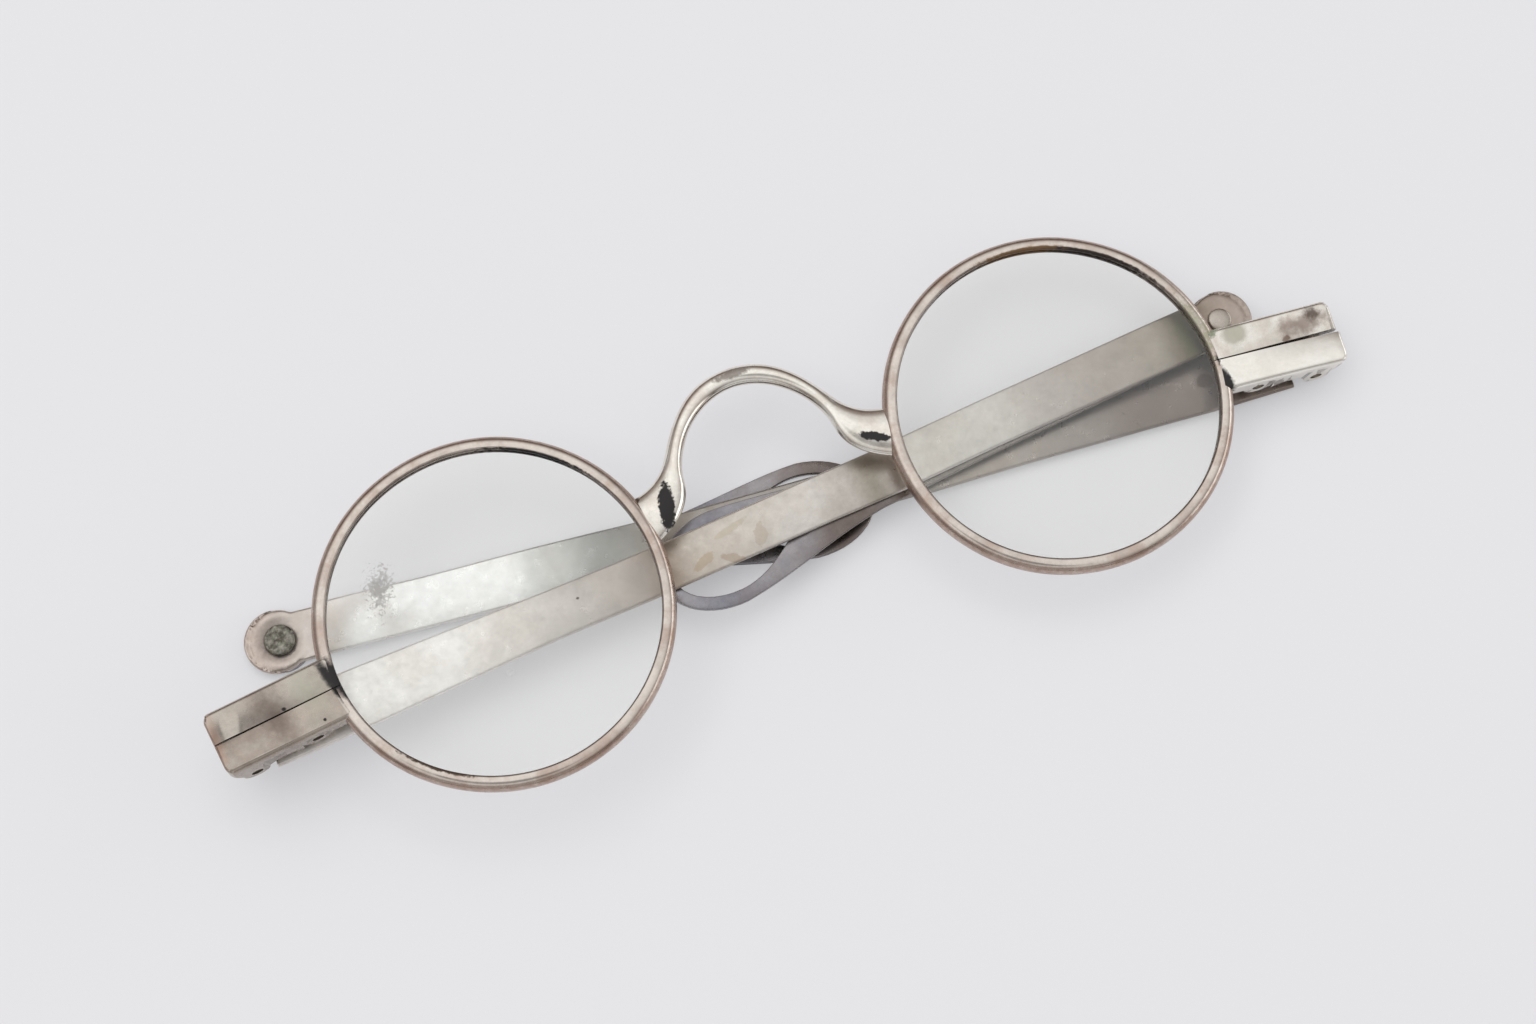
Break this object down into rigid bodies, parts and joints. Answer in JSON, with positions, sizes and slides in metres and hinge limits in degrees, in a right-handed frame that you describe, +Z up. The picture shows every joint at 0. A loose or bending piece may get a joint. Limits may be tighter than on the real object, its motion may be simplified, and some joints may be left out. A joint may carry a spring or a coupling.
{
  "type": "turn-pin spectacles",
  "caption": "Folded spectacles with round eyes, a C bridge, block endpieces and flat strap temples whose looped extensions turn on rivets.",
  "frame": {"origin": "centre of the part's box in X and Y, on the surface that the rear extension rests on", "axes": "+X along the front towards the right endpiece, right as seen from the front; +Y towards the bridge's arch; +Z up, out of the front face, away from the folded temples"},
  "size_m": [0.1109, 0.033, 0.0107],
  "materials": {
    "silver": "worn coin silver with tarnish in its corners",
    "pin_silver": "tarnished silver, for screws and rivets",
    "lens_glass": "clear polished lens glass"
  },
  "bodies": {
    "front": {"left_rim": "silver", "right_rim": "silver", "left_lens": "lens_glass", "right_lens": "lens_glass", "bridge": "silver", "left_endpiece_upper": "silver", "left_endpiece_lower": "silver", "right_endpiece_upper": "silver", "right_endpiece_lower": "silver", "left_closing_screw": "pin_silver", "right_closing_screw": "pin_silver", "left_hinge_screw": "pin_silver", "right_hinge_screw": "pin_silver"},
    "left_arm": {"left_temple": "silver", "left_knuckle": "silver", "left_turn_pin": "pin_silver"},
    "left_loop": {"left_extension": "silver"},
    "right_arm": {"right_temple": "silver", "right_knuckle": "silver", "right_turn_pin": "pin_silver"},
    "right_loop": {"right_extension": "silver"}
  },
  "joints": [
    {"name": "left_hinge", "type": "hinge", "parent": "front", "child": "left_arm", "pos_m": [-0.05305, -0.00262, 0.00726], "axis": [-0.1043, 0.9945, 0.0089], "range_deg": [0, 95]},
    {"name": "left_turn", "type": "hinge", "parent": "left_arm", "child": "left_loop", "pos_m": [0.04612, 0.00276, 0.00314], "axis": [-0.0273, 0.0061, -0.9996], "range_deg": [0, 181.8]},
    {"name": "right_hinge", "type": "hinge", "parent": "front", "child": "right_arm", "pos_m": [0.05277, -0.00261, 0.00273], "axis": [-0.1045, -0.9945, 0], "range_deg": [0, 95]},
    {"name": "right_turn", "type": "hinge", "parent": "right_arm", "child": "right_loop", "pos_m": [-0.04759, 0.0067, 0.00128], "axis": [0, 0, 1], "range_deg": [0, 181.75]}
  ]
}
